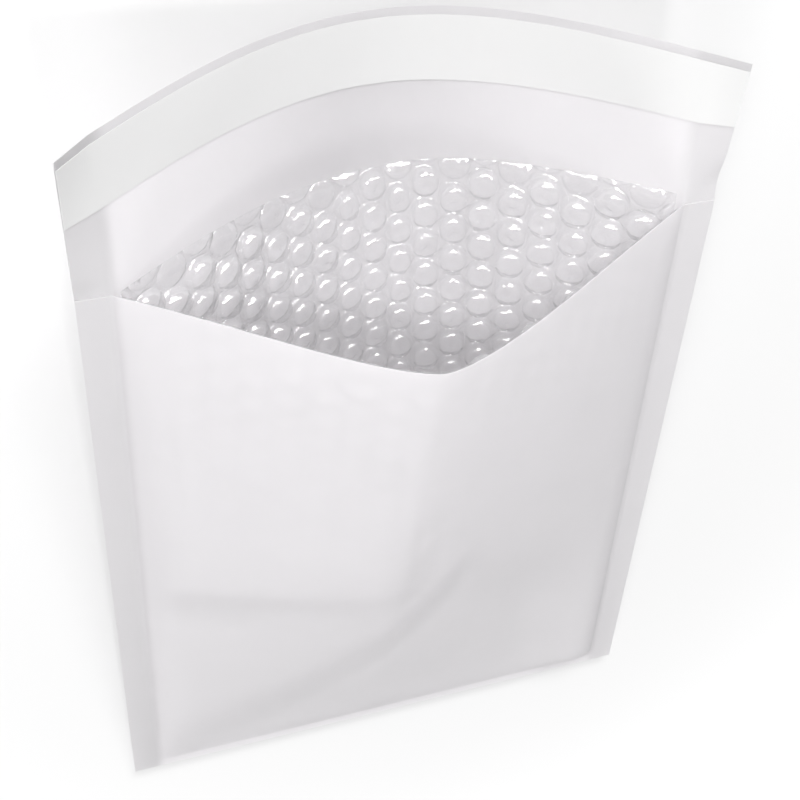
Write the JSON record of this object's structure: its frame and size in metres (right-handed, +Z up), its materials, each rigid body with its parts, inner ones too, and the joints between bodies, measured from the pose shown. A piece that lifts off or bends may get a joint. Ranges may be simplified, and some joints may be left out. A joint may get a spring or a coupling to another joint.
{
  "type": "bubble-lined cd mailer",
  "caption": "Open padded paper mailer at rest on its back, its pocket lined with bubble film and held open by its bowed panels, with a flap and a peel-off liner.",
  "frame": {"origin": "middle of the part's box on the ground that the mailer's back rests on", "axes": "+X across the mailer, -Y out of its mouth and over the flap, +Z up through the front panel"},
  "size_m": [0.19, 0.2734, 0.0801],
  "materials": {
    "white_paper": "matte white kraft paper",
    "bubble_film": "clear glossy film, pale grey over the paper",
    "release_paper": "satin siliconed paper"
  },
  "bodies": {
    "root": {"envelope": "white_paper", "bubble_lining": "bubble_film", "release_liner": "release_paper"}
  },
  "joints": []
}
